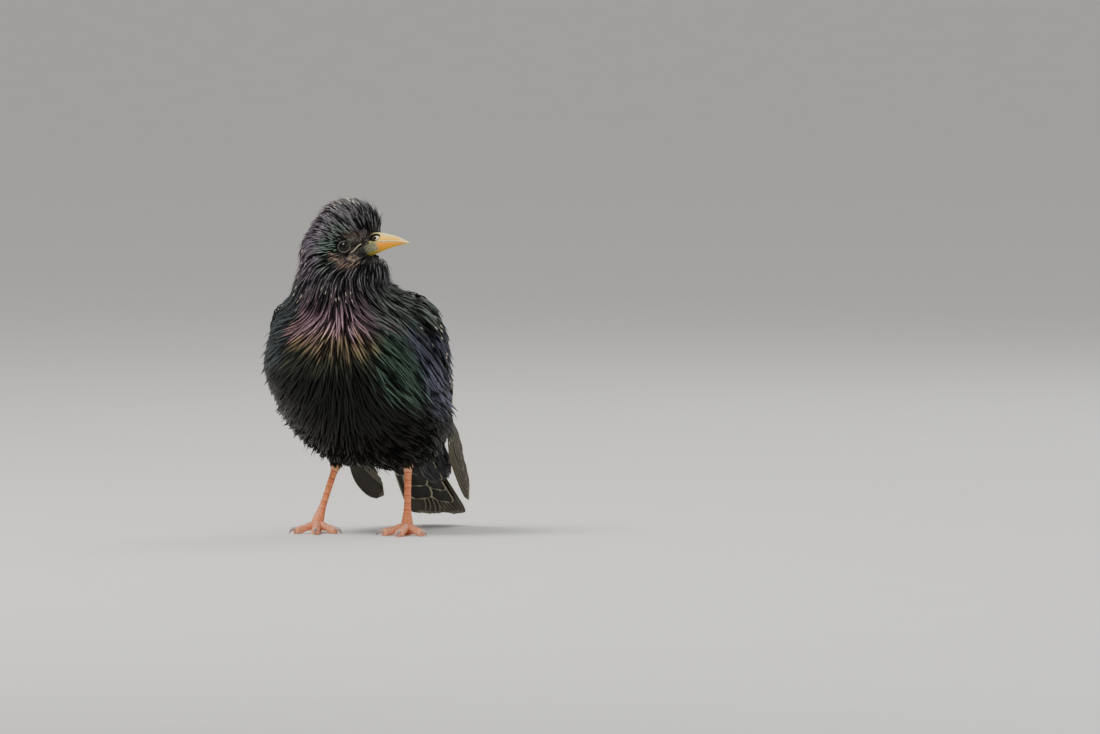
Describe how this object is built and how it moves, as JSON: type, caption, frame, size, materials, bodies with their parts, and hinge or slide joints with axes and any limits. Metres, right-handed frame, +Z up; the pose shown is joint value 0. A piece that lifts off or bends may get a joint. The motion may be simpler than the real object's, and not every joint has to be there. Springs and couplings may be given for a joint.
{
  "type": "standing songbird model",
  "caption": "Life-size standing songbird with its head turned to its left, folded wings, a short tail, a long bill and bare legs on flat feet.",
  "frame": {"origin": "centre of the bounding box on the floor that the toes stand on", "axes": "+Z up, the bird's body faces -Y, its left side is +X"},
  "size_m": [0.0959, 0.1363, 0.1684],
  "materials": {
    "plumage": "glossy black feather with purple and green sheen",
    "flight": "brown-black flight feather with pale edges",
    "bill": "smooth yellow horn",
    "bill_base": "smooth orange-yellow horn, grey at the base",
    "eye": "wet near-black eye",
    "leg": "orange-red scaled skin",
    "claw": "dark horn"
  },
  "bodies": {
    "root": {"torso": "plumage", "neck": "plumage", "head": "plumage", "bill_upper": "bill", "bill_lower": "bill_base", "eye_left": "eye", "eye_right": "eye", "wing_left": "flight", "wing_right": "flight", "tail": "flight", "thigh_left": "plumage", "thigh_right": "plumage", "foot_left": "leg", "foot_right": "leg", "claw_left_middle": "claw", "claw_left_inner": "claw", "claw_left_outer": "claw", "claw_left_hind": "claw", "claw_right_middle": "claw", "claw_right_inner": "claw", "claw_right_outer": "claw", "claw_right_hind": "claw"}
  },
  "joints": []
}
